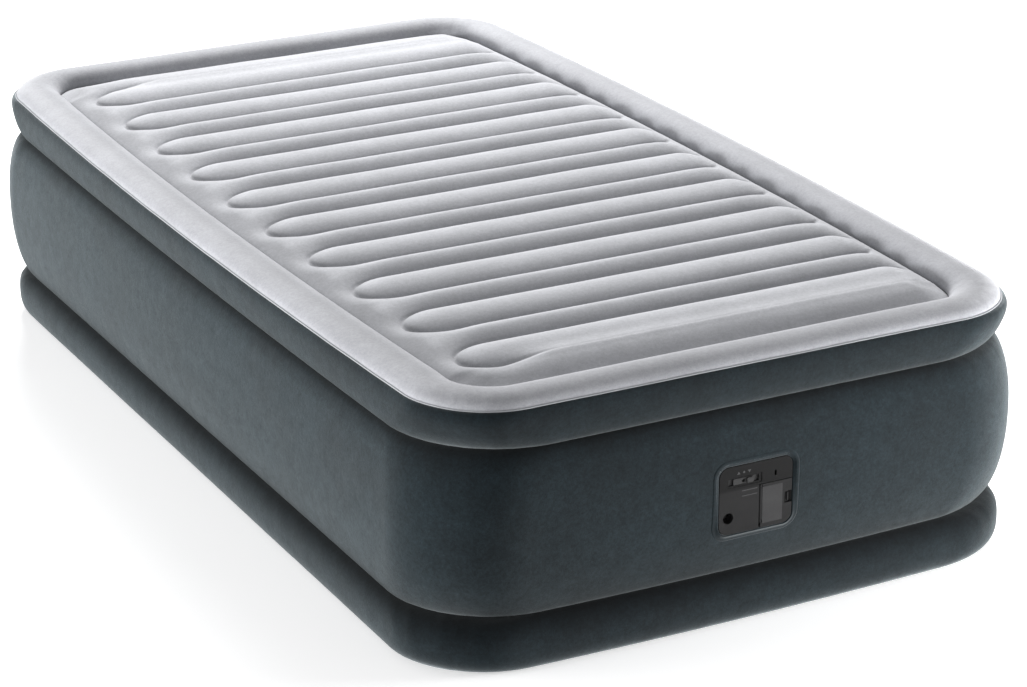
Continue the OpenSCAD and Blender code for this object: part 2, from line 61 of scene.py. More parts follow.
RIB_Y = [-697.0 + 152.0 * i for i in range(10)]
RIB_HALF_W = 43.0
RIB_MIDDLE = 22.0  # the ribs sit off centre across the bed
RIB_STRAIGHT = 332.0
RIB_TIP = 60.0
BORDER_RISE = 8.0  # from the rim's crease up to the creases of the ribs
END_DROP = 3.0  # how much lower the sleeping surface meets the rim at the two ends
RIB_RISE = 13.0
PUMP = np.array((-1.0, -891.0, 196.0))
PANEL = (116.0, 99.0, 14.0)  # width, height and corner radius
CUT_OUT = (PANEL[0] + 10, PANEL[1] + 10, PANEL[2] + 5)
FILM = 1.2


# ---- meshes ----


def new_piece(name, verts, faces, body="mattress", smooth=True):
    """A mesh object from points in mm that rides on a CAD body."""
    mesh = bpy.data.meshes.new(name)
    points = (np.asarray(verts, float) * MM).tolist()
    mesh.from_pydata(points, [], [list(map(int, f)) for f in faces])
    mesh.polygons.foreach_set("use_smooth", [smooth] * len(mesh.polygons))
    mesh.update()
    ob = bpy.data.objects.new(name, mesh)
    scene.collection.objects.link(ob)
    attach(ob, body)
    return ob


def grid_faces(rows, cols, wrap, close=False):
    """Quads between rows of points.

    wrap joins the ends of each row, close joins the last row to the first.
    """
    idx = np.arange(rows * cols).reshape(rows, cols)
    if close:
        idx = np.vstack([idx, idx[:1]])
    nxt = np.roll(idx, -1, 1)
    quads = np.stack([idx[:-1], nxt[:-1], nxt[1:], idx[1:]], -1)
    return (quads if wrap else quads[:, :-1]).reshape(-1, 4)


def drop_loose(verts, faces):
    """The same mesh without the points that no face uses."""
    used, inverse = np.unique(faces, return_inverse=True)
    return verts[used], inverse.reshape(faces.shape)


def thicken(ob, mm):
    mod = ob.modifiers.new("film", "SOLIDIFY")
    mod.thickness = mm * MM
    mod.offset = -1
    return ob


# ---- the round of the bed ----

N_CORNER, N_LONG, N_SHORT = 56, 200, 80


def bed_round():
    """For each point round the bed: its share of the corner axes and its outward direction."""
    signs = [(1, 1), (-1, 1), (-1, -1), (1, -1)]
    share, normal = [], []
    for q in range(4):
        here, there = np.array(signs[q], float), np.array(signs[(q + 1) % 4], float)
        for k in range(N_CORNER):
            a = TAU / 4 * (q + k / N_CORNER)
            share.append(here)
            normal.append((math.cos(a), math.sin(a)))
        a = TAU / 4 * (q + 1)
        n = N_SHORT if q % 2 == 0 else N_LONG
        for k in range(n):
            share.append(here + (there - here) * k / n)
            normal.append((math.cos(a), math.sin(a)))
    return np.array(share), np.array(normal)


SHARE, OUT = bed_round()


def drawn_in(z):
    """How far the corners draw in at a height: across the bed at its upper tiers, along it at its base."""
    up = min(1.0, max(0.0, (z - LOWER[2]) / (UPPER[2] - LOWER[2])))
    over = min(1.0, max(0.0, (z - UPPER[2]) / (WELD[2] - UPPER[2])))
    return 12.0 * up + 10.0 * over, 14.0 * (1 - up)


def ring(hx, r, z):
    xy = SHARE * (hx - r, hx + LONG - r) + r * OUT
    across, along = drawn_in(z)
    share = xy / (hx, hx + LONG)
    bow = [across * share[:, 0] * share[:, 1] ** 2, along * share[:, 1] * share[:, 0] ** 2]
    return xy - np.column_stack(bow)


_ref = ring(450.0, 165.0, 0.0)
_step = np.linalg.norm(np.roll(_ref, -1, 0) - _ref, axis=1)
PLACE = np.concatenate([[0], np.cumsum(_step)[:-1]]) / _step.sum()  # 0 to 1 round the bed
GIRTH = _step.sum()
CORNER = (2 * np.abs(OUT[:, 0] * OUT[:, 1])) ** 0.5


def ripple(seed, low, high, count=7):
    """A wave round the bed with wavelengths from low to high mm, about -1 to 1."""
    rng = np.random.default_rng(seed)
    turns = np.round(GIRTH / rng.uniform(low, high, count))
    phase = rng.uniform(0, TAU, count)
    size = rng.uniform(0.5, 1, count)
    wave = (size[:, None] * np.sin(TAU * turns[:, None] * PLACE + phase[:, None])).sum(0)
    return wave / (size.sum() * 0.6)


def loft(profile, push=None):
    """Rows of points from a profile of (half width, corner radius, height).

    push is how far each point moves outward, one row for each row of the profile.
    """
    rows = []
    for i, (hx, r, z) in enumerate(profile):
        xy = ring(hx, r, z)
        if push is not None:
            xy = xy + OUT * push[i][:, None]
        rows.append(np.column_stack([xy, np.full(len(xy), z)]))
    return np.array(rows)


def bent(v, p):
    return math.copysign(abs(v) ** (2 / p), v)


def profile_length(profile):
    p = np.array([(a[0], a[2]) for a in profile])
    return np.concatenate([[0], np.cumsum(np.linalg.norm(np.diff(p, axis=0), axis=1))])


def pucker(dist, seed, size, corner_size, reach):
    """Small gathers beside a weld: nothing on it, most at reach, then fading. One row per distance."""
    fine, broad = ripple(seed, 20, 34), ripple(seed + 1, 40, 75)
    strength = size + (corner_size - size) * CORNER
    fade_fine = dist / reach * np.exp(1 - dist / reach)
    fade_broad = dist / (2.2 * reach) * np.exp(1 - dist / (2.2 * reach))
    return strength * (0.6 * fade_fine[:, None] * fine + 0.8 * fade_broad[:, None] * broad)


# ---- soft pieces ----


def smooth(v):
    v = np.clip(v, 0, 1)
    return v * v * (3 - 2 * v)


def end_drop(y):
    return END_DROP * smooth((np.abs(y) - (RIM_FOOT[0] + LONG - 90)) / 70)


def make_rim():
    rows = 34
    profile, shares = [], []
    for k in range(rows + 1):
        c, s = math.cos(math.pi * k / rows), math.sin(math.pi * k / rows)
        across = (1 - bent(c, 2.15)) / 2
        shares.append(across)
        foot = WELD[2] + (RIM_FOOT[2] - WELD[2]) * across
        hx = WELD[0] + (RIM_FOOT[0] - WELD[0]) * across
        radius = WELD[1] + (RIM_FOOT[1] - WELD[1]) * across
        profile.append((hx, radius, foot + (CREST_Z - foot) * bent(s, 2.05)))
    profile.append((RIM_FOOT[0] + 1, RIM_FOOT[1] + 1, RIM_FOOT[2] - 6))
    shares.append(1)
    dist = profile_length(profile)
    near = np.minimum(dist, dist[-1] - dist)
    push = 0.5 * (near / near.max())[:, None] * ripple(11, 260, 700) + pucker(near, 12, 0.12, 0.4, 6)
    grid = loft(profile)
    share = np.array(shares)[:, None]
    grid[:, :, 2] += np.clip(push, -1, 1) - end_drop(grid[:, :, 1]) * share**1.5
    ob = new_piece("top_rim", grid.reshape(-1, 3), grid_faces(*grid.shape[:2], True))
    return thicken(ob, FILM)


def eased(a, b, n, pull=0.45):
    """n steps from a to b, closer together at both ends."""
    t = np.linspace(0, 1, n + 1)[:-1]
    return a + (b - a) * ((1 - pull) * t + pull * (1 - np.cos(math.pi * t)) / 2)


def rise(dist, reach):
    """0 at a crease, 1 beyond reach, steepest at the crease."""
    return 1 - (1 - np.clip(dist / reach, 0, 1)) ** 2


def rib_distance(x, y, yc):
    """How far outside a rib's crease a point is, and how far out from its middle it is, 1 at the crease."""
    dy = np.abs(y - yc)
    ex = np.maximum(np.abs(x - RIB_MIDDLE) - RIB_STRAIGHT, 0)
    k0 = np.hypot(ex / RIB_TIP, dy / RIB_HALF_W)
    k1 = np.hypot(ex / RIB_TIP**2, dy / RIB_HALF_W**2) + 1e-9
    return np.where(ex > 0, k0 * (k0 - 1) / k1, dy - RIB_HALF_W), k0


def make_surface():
    far = RIM_FOOT[0] + LONG + 9
    ys = [eased(-far, RIB_Y[0] - RIB_HALF_W, 34)]
    for i, yc in enumerate(RIB_Y):
        ys.append(eased(yc - RIB_HALF_W, yc + RIB_HALF_W, 28))
        end = RIB_Y[i + 1] - RIB_HALF_W if i < 9 else far
        ys.append(eased(yc + RIB_HALF_W, end, 20 if i < 9 else 24))
    ys = np.concatenate(ys + [[far]])
    tips = np.arange(-RIM_FOOT[0] - 9, -275, 2.6)
    xs = np.concatenate([tips, np.linspace(-275, 275, 71), -tips[::-1]])
    x, y = np.meshgrid(xs, ys)
    qx, qy = np.abs(x) - (RIM_FOOT[0] - RIM_FOOT[1]), np.abs(y) - (RIM_FOOT[0] + LONG - RIM_FOOT[1])
    to_rim = RIM_FOOT[1] - np.hypot(np.maximum(qx, 0), np.maximum(qy, 0)) - np.minimum(np.maximum(qx, qy), 0)
    crown = np.zeros_like(x)
    free = np.ones_like(x)
    crease = np.full_like(x, 1e9)
    for yc in RIB_Y:
        d, u = rib_distance(x, y, yc)
        crown = np.maximum(crown, np.clip(1 - u**2, 0, 1) ** 0.88)
        free *= rise(d, 40)
        crease = np.minimum(crease, np.abs(d))
    end_margin = np.maximum((RIB_Y[0] - y) / RIB_HALF_W, (y - RIB_Y[-1]) / RIB_HALF_W)
    hump = 0.85 * smooth(end_margin) * (1 - smooth((RIB_MIDDLE - x - 250) / 120))
    swell = 14.5 - 4.5 * smooth((np.abs(x - RIB_MIDDLE) - 290) / 90)
    reach = 45 + 60 * smooth((end_margin - 0.8) / 0.6)
    shoulder = rise(to_rim, reach) ** 0.75
    ground = swell * (hump + (1 - hump) * free) * shoulder
    crown *= rise(to_rim, 30) ** 0.7
    rng = np.random.default_rng(5)
    slow = np.zeros_like(x)
    for _ in range(9):
        kx, ky = rng.uniform(-1, 1, 2) * TAU / 160
        slow += np.sin(kx * x + ky * y + rng.uniform(0, TAU)) / 9
    gather = np.sin(x / 6.1 + 2.0 * np.sin(x / 37 + y / 90)) * np.exp(-crease / 7) * 0.16
    beside_rim = 10 * shoulder
    form = beside_rim + (ground + (RIB_RISE - ground) * crown - beside_rim) * smooth(to_rim / 30)
    z = RIM_FOOT[2] + BORDER_RISE * smooth(to_rim / 62) + form
    z = z + 0.8 * slow * rise(to_rim, 40) + gather
    z -= 2.0 * np.exp(-((crease / 2.6) ** 2)) * (1 - 0.95 * hump / 0.85) * smooth(to_rim / 30)
    z -= 2.2 * np.exp(-((to_rim / 3.4) ** 2))
    z += np.minimum(to_rim, 0) * 0.6
    z -= end_drop(y)
    across, _ = drawn_in(RIM_FOOT[2])
    grid = np.dstack([x - across * x / RIM_FOOT[0] * (y / (RIM_FOOT[0] + LONG)) ** 2, y, z])
    faces = grid_faces(*x.shape, False)
    inside = to_rim.ravel()[faces].max(1) > -7
    verts, faces = drop_loose(grid.reshape(-1, 3), faces[inside])
    ob = new_piece("sleeping_surface", verts, faces)
    return thicken(ob, FILM)


def make_bead(name, level, out, half_w, half_h, seed, sides=8):
    """A thin weld round the bed."""
    wob = 0.35 * ripple(seed, 60, 240)
    rows = []
    for k in range(sides):
        a = TAU * k / sides
        sideways = half_w * math.cos(a) + 0.15 * wob
        xy = ring(level[0] + out, level[1] + out, level[2]) + OUT * sideways[:, None]
        rows.append(np.column_stack([xy, level[2] + half_h * math.sin(a) + wob]))
    grid = np.array(rows)
    return new_piece(name, grid.reshape(-1, 3), grid_faces(*grid.shape[:2], True, close=True))


def make_top_band():
    rows = 30
    profile = []
    for k in range(rows + 1):
        c, s = -math.cos(math.pi * k / rows), math.sin(math.pi * k / rows)
        t = (1 + bent(c, 2.4)) / 2
        hx = UPPER[0] + (WELD[0] - UPPER[0]) * t + 10.0 * bent(s, 2.3)
        radius = UPPER[1] + (WELD[1] - UPPER[1]) * t - 7 * s
        profile.append((hx, radius, UPPER[2] + (WELD[2] - UPPER[2]) * t))
    dist = profile_length(profile)
    from_top = dist[-1] - dist
    push = pucker(dist, 21, 0.18, 0.5, 6) + pucker(from_top, 25, 0.1, 0.3, 5)
    push += 0.5 * (np.minimum(dist, from_top) / 30)[:, None] * ripple(23, 300, 800)
    grid = loft(profile, push)
    return thicken(new_piece("top_band_skin", grid.reshape(-1, 3), grid_faces(*grid.shape[:2], True)), FILM)


WALL_MID = (UPPER[2] + LOWER[2]) / 2
WALL_HALF = (UPPER[2] - LOWER[2]) / 2
WALL_SHAPE = 2.2


def wall_level(angle):
    s, c = bent(math.sin(angle), WALL_SHAPE), bent(math.cos(angle), WALL_SHAPE)
    foot = [(a + b) / 2 + (a - b) / 2 * s for a, b in zip(UPPER, LOWER)]
    middle = [(a + b) / 2 for a, b in zip(UPPER, LOWER)]
    return foot[0] + (WALL[0] - middle[0]) * c, foot[1] + (WALL[1] - middle[1]) * c, foot[2]


def wall_face_y(z):
    """Where the tall wall's outside lies at the pump end, as local depth behind the panel's face."""
    s = np.clip((np.asarray(z, float) - WALL_MID) / WALL_HALF, -1, 1)
    middle = (UPPER[0] + LOWER[0]) / 2
    bulge = (1 - np.abs(s) ** WALL_SHAPE) ** (1 / WALL_SHAPE)
    hx = middle + (UPPER[0] - middle) * s + (WALL[0] - middle) * bulge
    return -(hx + LONG) - PUMP[1]


def rounded_distance(x, z, w, h, r):
    """Signed distance from a rounded rectangle on the pump's face, negative inside."""
    qx, qz = np.abs(x) - (w / 2 - r), np.abs(z) - (h / 2 - r)
    return np.hypot(np.maximum(qx, 0), np.maximum(qz, 0)) + np.minimum(np.maximum(qx, qz), 0) - r


def make_wall():
    rows = 64
    profile = [wall_level(math.pi * (k / rows - 0.5)) for k in range(rows + 1)]
    dist = profile_length(profile)
    from_top = dist[-1] - dist
    push = pucker(dist, 31, 0.2, 0.5, 7) + pucker(from_top, 35, 0.15, 0.45, 7)
    push += 1.0 * (np.minimum(np.minimum(dist, from_top) / 60, 1))[:, None] * ripple(33, 420, 1100)
    grid = loft(profile, push)
    # the cut-out for the pump, and the calm area round it
    x, z = grid[:, :, 0] - PUMP[0], grid[:, :, 2] - PUMP[2]
    at_end = OUT[:, 1] < -0.99
    hole = rounded_distance(x, z, *CUT_OUT)
    hole[:, ~at_end] = 1e3
    calm = smooth(hole / 45)
    plain = loft(profile)
    grid = plain + (grid - plain) * calm[:, :, None]
    # points close inside the edge move out to it
    for i, j in np.argwhere((hole < 0) & (hole > -14)):
        px, pz = x[i, j], z[i, j]
        e = 0.01
        gx = rounded_distance(px + e, pz, *CUT_OUT) - hole[i, j]
        gz = rounded_distance(px, pz + e, *CUT_OUT) - hole[i, j]
        g = np.array([gx, gz]) / (math.hypot(gx, gz) + 1e-12)
        grid[i, j, 0] -= g[0] * hole[i, j]
        grid[i, j, 2] -= g[1] * hole[i, j]
        grid[i, j, 1] = wall_face_y(grid[i, j, 2]) + PUMP[1]
    faces = grid_faces(*grid.shape[:2], True)
    kept = hole.ravel()[faces].max(1) > 0
    verts, faces = drop_loose(grid.reshape(-1, 3), faces[kept])
    return thicken(new_piece("middle_wall_skin", verts, faces), FILM)


def make_base():
    rows = 44
    profile = []
    for k in range(rows + 1):
        a = math.pi * (k / rows - 0.5)
        s, side = bent(math.sin(a), 2.6), bent(math.cos(a), 2.6)
        profile.append((LOWER[0] + (BASE[0] - LOWER[0]) * side, LOWER[1] + (BASE[1] - LOWER[1]) * side,
                        0.6 + (LOWER[2] - 0.6) * (1 + s) / 2))
    dist = profile_length(profile)
    from_top = dist[-1] - dist
    push = pucker(from_top, 41, 0.25, 0.8, 8) + 0.25 * pucker(dist, 45, 0.4, 0.8, 12)
    push += 1.2 * np.minimum(np.minimum(dist, from_top) / 40, 1)[:, None] * ripple(43, 300, 800)
    grid = loft(profile, np.clip(push, -4, 4))
    return thicken(new_piece("base_band_skin", grid.reshape(-1, 3), grid_faces(*grid.shape[:2], True)), FILM)


def make_bottom():
    """The flat underside, from the base band in to the middle, with a welded border."""
    border = [(470, 150, 2.2), (464, 146, 1.2), (456, 140, 0.3), (449, 134, 0.8)]
    weld_ridge = [(446, 132, 1.4), (442, 129, 0.8), (434, 122, 0.3)]
    middle = [(400, 100, 0.3), (320, 60, 0.5), (220, 45, 0.8), (120, 30, 0.6), (40, 15, 0.6)]
    profile = border + weld_ridge + middle
    grid = loft(profile)
    rows, cols = grid.shape[:2]
    faces = [tuple(f) for f in grid_faces(rows, cols, True)]
    last = (rows - 1) * cols
    faces.append(tuple(range(last, last + cols)))
    faces = [f[::-1] for f in faces]
    ob = new_piece("bottom_skin", grid.reshape(-1, 3), faces)
    mod = ob.modifiers.new("film", "SOLIDIFY")
    mod.thickness = 0.3 * MM
    mod.offset = -1
    return ob


def panel_round(grow, n_corner=14, n_side=16):
    """Points round the pump's panel, grown by a distance, as local x and z."""
    w, h, r = PANEL[0] / 2, PANEL[1] / 2, PANEL[2]
    cx, cz = w - r, h - r
    points = []
    signs = [(1, 1), (-1, 1), (-1, -1), (1, -1)]
    for q in range(4):
        here, there = np.array(signs[q]) * (cx, cz), np.array(signs[(q + 1) % 4]) * (cx, cz)
        for k in range(n_corner):
            a = TAU / 4 * (q + k / n_corner)
            points.append(here + (r + grow) * np.array((math.cos(a), math.sin(a))))
        a = TAU / 4 * (q + 1)
        for k in range(n_side):
            out = (r + grow) * np.array((math.cos(a), math.sin(a)))
            points.append(here + (there - here) * k / n_side + out)
    return np.array(points)


def make_flange():
    """Soft ring that joins the wall to the pump: a lip beside the panel and a skirt on the wall."""
    # how far out from the panel, how much it follows the wall, and how deep it lies
    profile = [(0.8, None, 6.0), (0.8, None, 1.0), (1.1, None, 0.3), (1.8, None, 0.0), (2.8, 0.2, -0.1),
               (4.0, 0.5, -0.2), (5.5, 0.8, -0.3), (7.0, 0.95, -0.4), (8.4, 1.0, -0.45), (9.6, 1.0, -0.35),
               (10.6, 1.0, 0.0), (11.4, 1.0, 0.6), (11.0, 1.0, 2.6), (7.0, 0.9, 3.4),
               (3.0, 0.4, 6.0), (0.8, None, 7.4)]
    rows = []
    for grow, follow, y in profile:
        xz = panel_round(grow)
        wall = wall_face_y(xz[:, 1] + PUMP[2])
        depth = y + (follow or 0.0) * wall
        rows.append(np.column_stack([xz[:, 0], depth, xz[:, 1]]) + PUMP)
    grid = np.array(rows)
    faces = grid_faces(*grid.shape[:2], True, close=True)
    return new_piece("pump_ring", grid.reshape(-1, 3), faces[:, ::-1])


# ---- small marks on the pump ----


def make_prism(points, y0, y1):
    """A flat shape on the pump's face with a thickness, from local x and z."""
    n = len(points)
    front = [(p[0], y0, p[1]) for p in points]
    back = [(p[0], y1, p[1]) for p in points]
    faces = [tuple(range(n)), tuple(range(2 * n - 1, n - 1, -1))]
    faces += [(i, i + n, (i + 1) % n + n, (i + 1) % n) for i in range(n)]
    return np.array(front + back) + PUMP, faces


def make_marks():
    """Plain symbols over the slide (blow in, off, let out) and two moulded lines."""
    shapes = [
        [(-30.5, 37.0), (-25.5, 37.0), (-28.0, 41.0)],
        [(-19.5 + 1.6 * math.cos(TAU * k / 20), 39.0 + 1.6 * math.sin(TAU * k / 20)) for k in range(20)],
        [(-13.5, 41.0), (-11.0, 37.0), (-8.5, 41.0)],
        [(-22.0, 11.0), (2.0, 11.0), (2.0, 12.0), (-22.0, 12.0)],
        [(-22.0, 3.2), (2.0, 3.2), (2.0, 4.0), (-22.0, 4.0)],
    ]
    verts, faces, n = [], [], 0
    for points in shapes:
        area = sum(p[0] * q[1] - q[0] * p[1] for p, q in zip(points, points[1:] + points[:1]))
        v, f = make_prism(points if area > 0 else points[::-1], -0.15, 0.4)
        verts.append(v)
        faces += [tuple(i + n for i in g) for g in f]
        n += len(v)
    return new_piece("control_marks", np.vstack(verts), faces, smooth=False)


# ---- materials ----


class Nodes:
    """Short ways to add and join shader nodes."""

    def __init__(self, name):
        self.mat = bpy.data.materials.new(name)
        self.mat.use_nodes = True
        self.tree = self.mat.node_tree
        self.tree.nodes.clear()
        self.bsdf = self.add("ShaderNodeBsdfPrincipled")
        out = self.add("ShaderNodeOutputMaterial")
        self.tree.links.new(self.bsdf.outputs[0], out.inputs[0])
        self.coord = self.add("ShaderNodeTexCoord").outputs["Object"]

    def add(self, kind, **values):
        node = self.tree.nodes.new(kind)
        for k, v in values.items():
            if k in node.inputs:
                node.inputs[k].default_value = v
            else:
                setattr(node, k, v)
        return node

    def join(self, a, b):
        self.tree.links.new(a, b)

    def set(self, **values):
        for k, v in values.items():
            self.bsdf.inputs[k.replace("_", " ")].default_value = v
        return self

    def noise(self, scale, detail=3.0, rough=0.55, stretch=None):
        node = self.add("ShaderNodeTexNoise", Scale=scale, Detail=detail, Roughness=rough)
        source = self.coord
        if stretch:
            mapping = self.add("ShaderNodeMapping")
            mapping.inputs["Scale"].default_value = stretch
            self.join(source, mapping.inputs["Vector"])
            source = mapping.outputs["Vector"]
        self.join(source, node.inputs["Vector"])
        return node.outputs["Fac"]

    def ramp(self, value, stops):
        node = self.add("ShaderNodeValToRGB")
        ramp = node.color_ramp
        while len(ramp.elements) < len(stops):
            ramp.elements.new(0.5)
        for e, (at, colour) in zip(ramp.elements, stops):
            e.position = at
            e.color = (*colour, 1) if len(colour) == 3 else colour
        self.join(value, node.inputs[0])
        return node.outputs[0]

    def mix(self, kind, fac, a, b):
        node = self.add("ShaderNodeMix", data_type="RGBA", blend_type=kind)
        for socket, v in ((node.inputs[0], fac), (node.inputs[6], a), (node.inputs[7], b)):
            if isinstance(v, bpy.types.NodeSocket):
                self.join(v, socket)
            else:
                socket.default_value = v if isinstance(v, (int, float)) else (*v, 1)
        return node.outputs[2]

    def colour(self, socket):
        self.join(socket, self.bsdf.inputs["Base Color"])
        return self

    def bump(self, height, strength, mm, after=None):
        node = self.add("ShaderNodeBump", Strength=strength, Distance=mm * MM)
        self.join(height, node.inputs["Height"])
        if after is not None:
            self.join(after, node.inputs["Normal"])
        self.join(node.outputs[0], self.bsdf.inputs["Normal"])
        return node.outputs[0]

    def add_up(self, a, b):
        """The mean of two waves."""
        node = self.add("ShaderNodeMath", operation="ADD")
        self.join(a, node.inputs[0])
        self.join(b, node.inputs[1])
        half = self.add("ShaderNodeMath", operation="MULTIPLY")
        self.join(node.outputs[0], half.inputs[0])
        half.inputs[1].default_value = 0.5
        return half.outputs[0]

    def rough(self, value, low, high):
        node = self.add("ShaderNodeMapRange")
        node.inputs["To Min"].default_value = low
        node.inputs["To Max"].default_value = high
        self.join(value, node.inputs["Value"])
        self.join(node.outputs[0], self.bsdf.inputs["Roughness"])


def tinted(c, k):
    return tuple(min(1, v * k) for v in c)


def flock(name, base, sheen, sheen_rough, tint, contrast=0.12, painted_shade=()):
    """Short velvet nap: blotches where it was brushed, a fine grain and soft sheen.

    The list of (height in mm, brightness) stops is painted shade: it darkens the colour and the sheen at the
    heights where shade falls beside the welds.
    """
    n = Nodes(name)
    blotch = n.noise(9.0, 4.0, 0.6)
    brushed = n.noise(46.0, 4.0, 0.65)
    mottle = n.noise(190.0, 3.0, 0.7)
    grain = n.noise(620.0, 2.0, 0.7)
    fibre = n.noise(1500.0, 2.0, 0.6)
    tone = n.ramp(blotch, [(0.32, tinted(base, 1 - contrast)), (0.68, tinted(base, 1 + contrast))])
    for wave, share in ((brushed, 0.7), (mottle, 1.6), (grain, 1.3)):
        ends = [(0.28, (1 - contrast * share,) * 3), (0.72, (1 + contrast * share,) * 3)]
        tone = n.mix("MULTIPLY", 1.0, tone, n.ramp(wave, ends))
    if painted_shade:
        # painted shade by height, multiplied into the colour and into the sheen's weight
        split = n.add("ShaderNodeSeparateXYZ")
        n.join(n.coord, split.inputs[0])
        height = n.add("ShaderNodeMath", operation="DIVIDE")
        n.join(split.outputs[2], height.inputs[0])
        height.inputs[1].default_value = CREST_Z * MM
        shade = n.ramp(height.outputs[0], [(z / CREST_Z, (k,) * 3) for z, k in painted_shade])
        tone = n.mix("MULTIPLY", 1.0, tone, shade)
        weight = n.add("ShaderNodeMath", operation="MULTIPLY")
        n.join(shade, weight.inputs[0])
        ends = [(0.3, (sheen * (1 - contrast),) * 3), (0.7, (sheen * (1 + contrast),) * 3)]
        n.join(n.ramp(n.add_up(brushed, mottle), ends), weight.inputs[1])
        n.join(weight.outputs[0], n.bsdf.inputs["Sheen Weight"])
    n.colour(tone)
    first = n.bump(brushed, 0.25, 0.5)
    second = n.bump(mottle, 0.4, 0.3, first)
    third = n.bump(grain, 0.5, 0.25, second)
    n.bump(fibre, 0.5, 0.15, third)
    n.set(Roughness=0.95, Specular_IOR_Level=0.15)
    n.set(Sheen_Weight=sheen, Sheen_Roughness=sheen_rough, Sheen_Tint=(*tint, 1))
    return n.mat


def film(name, base, gloss=0.5):
    """Plain vinyl film with a faint embossed grain and scuffs."""
    n = Nodes(name)
    cloud = n.noise(14.0, 3.0)
    grain = n.noise(900.0, 2.0)
    n.colour(n.ramp(cloud, [(0.3, tinted(base, 0.85)), (0.7, tinted(base, 1.15))]))
    n.rough(cloud, gloss - 0.08, gloss + 0.12)
    n.bump(grain, 0.35, 0.1)
    n.set(Specular_IOR_Level=0.4)
    return n.mat


def fibre_film(name, base):
    """Inner film with the lines of its fibres."""
    n = Nodes(name)
    lines = n.noise(40.0, 2.0, 0.6, stretch=(14, 14, 0.4))
    n.colour(n.ramp(lines, [(0.35, tinted(base, 0.75)), (0.65, tinted(base, 1.2))]))
    n.rough(lines, 0.5, 0.8)
    n.bump(lines, 0.5, 0.4)
    return n.mat


def plastic(name, base, rough=0.55, grain_mm=0.06, spec=0.35, top_dark=None):
    """Moulded plastic with a spark-eroded grain. top_dark darkens it above the lid."""
    n = Nodes(name)
    grain = n.noise(1400.0, 2.0, 0.7)
    cloud = n.noise(45.0, 3.0)
    wear = n.noise(260.0, 4.0, 0.65)
    body = n.ramp(cloud, [(0.3, tinted(base, 0.9)), (0.7, tinted(base, 1.1))])
    if top_dark:
        split = n.add("ShaderNodeSeparateXYZ")
        n.join(n.coord, split.inputs[0])
        band = n.add("ShaderNodeMapRange")
        band.inputs["From Min"].default_value = (PUMP[2] + 12.5) * MM
        band.inputs["From Max"].default_value = (PUMP[2] + 16.0) * MM
        n.join(split.outputs[2], band.inputs["Value"])
        body = n.mix("MIX", band.outputs[0], body, tinted(base, top_dark))
    n.colour(n.mix("MULTIPLY", 0.6, body, n.ramp(wear, [(0.3, (0.85,) * 3), (0.7, (1.0,) * 3)])))
    n.rough(wear, rough - 0.06, rough + 0.1)
    n.bump(grain, 0.4, grain_mm)
    n.set(Specular_IOR_Level=spec)
    return n.mat


def rubber(name, base):
    n = Nodes(name)
    dust = n.noise(120.0, 4.0, 0.65)
    n.colour(n.ramp(dust, [(0.35, base), (0.75, tinted(base, 1.8))]))
    n.rough(dust, 0.6, 0.85)
    n.bump(n.noise(700.0, 2.0), 0.3, 0.08)
    return n.mat


def metal(name, base, rough, stretch=(1, 12, 1)):
    """Drawn or brushed metal, with its lines along the shaft."""
    n = Nodes(name)
    lines = n.noise(220.0, 3.0, 0.6, stretch=stretch)
    tarnish = n.noise(60.0, 3.0)
    n.colour(n.mix("MULTIPLY", 0.5, n.ramp(tarnish, [(0.3, tinted(base, 0.8)), (0.7, base)]),
                   n.ramp(lines, [(0.3, (0.8,) * 3), (0.7, (1.0,) * 3)])))
    n.rough(lines, rough - 0.08, rough + 0.12)
    n.bump(lines, 0.2, 0.03)
    n.set(Metallic=1.0)
    return n.mat


LIGHT = (0.392, 0.398, 0.424)
DARK = (0.0050, 0.0102, 0.0132)
# height and brightness of painted shade on the dark nap: darker where shade falls in the grooves by the
# welds, on the base below the wall's bulge, under the wall and on the top band
PAINTED_SHADE = [(0, 0.95), (16, 1.0), (36, 0.95), (54, 0.68), (70, 0.42), (79, 0.2), (84, 0.4), (100, 0.8),
        (125, 1.0), (295, 1.0), (316, 0.68), (326, 0.28), (331, 0.65), (342, 0.84), (387, 0.8)]
FINISH = {
    "flock_light": flock("flock_light", LIGHT, 0.25, 0.5, (1.0, 1.0, 1.0), 0.06),
    "flock_dark": flock("flock_dark", DARK, 0.62, 0.42, (0.66, 0.725, 0.75), 0.22, PAINTED_SHADE),
    "base_film": film("base_film", (0.02, 0.026, 0.03)),
    "inner_film": fibre_film("inner_film", (0.45, 0.47, 0.49)),
    "soft_ring": flock("soft_ring", DARK, 0.6, 0.42, (0.68, 0.72, 0.74), 0.22),
    "dark_plastic": plastic("dark_plastic", (0.017, 0.017, 0.0175), spec=0.1, top_dark=0.42),
    "lid_plastic": plastic("lid_plastic", (0.0175, 0.0175, 0.018), spec=0.1),
    "grey_plastic": plastic("grey_plastic", (0.028, 0.028, 0.0285), 0.45, spec=0.2),
    "label_film": plastic("label_film", (0.036, 0.036, 0.037), 0.45, 0.03, 0.15),
    "black_rubber": rubber("black_rubber", (0.012, 0.012, 0.013)),
    "steel": metal("steel", (0.56, 0.57, 0.59), 0.32),
    "copper": metal("copper", (0.72, 0.42, 0.22), 0.35),
    "carbon": rubber("carbon", (0.03, 0.03, 0.032)),
}
MARK = plastic("mark_paint", (0.045, 0.045, 0.047), 0.5)
# painted shade: a darker copy of the top's light flock for the rim, toning down the left fill's light on it,
# together with the rim's own slightly darker nap
RIM_SHADED_NAP = flock("rim_flock_shaded", tinted(LIGHT, 0.83), 0.22, 0.5, (1.0, 0.99, 1.0), 0.06)
WELDED = flock("weld_flock", (0.36, 0.37, 0.39), 0.2, 0.4, (1.0, 1.0, 1.0), 0.03)


def finish(ob, slot_name):
    ob.data.materials.clear()
    ob.data.materials.append(FINISH[slot_name])
    return ob


# ---- put the pieces together ----

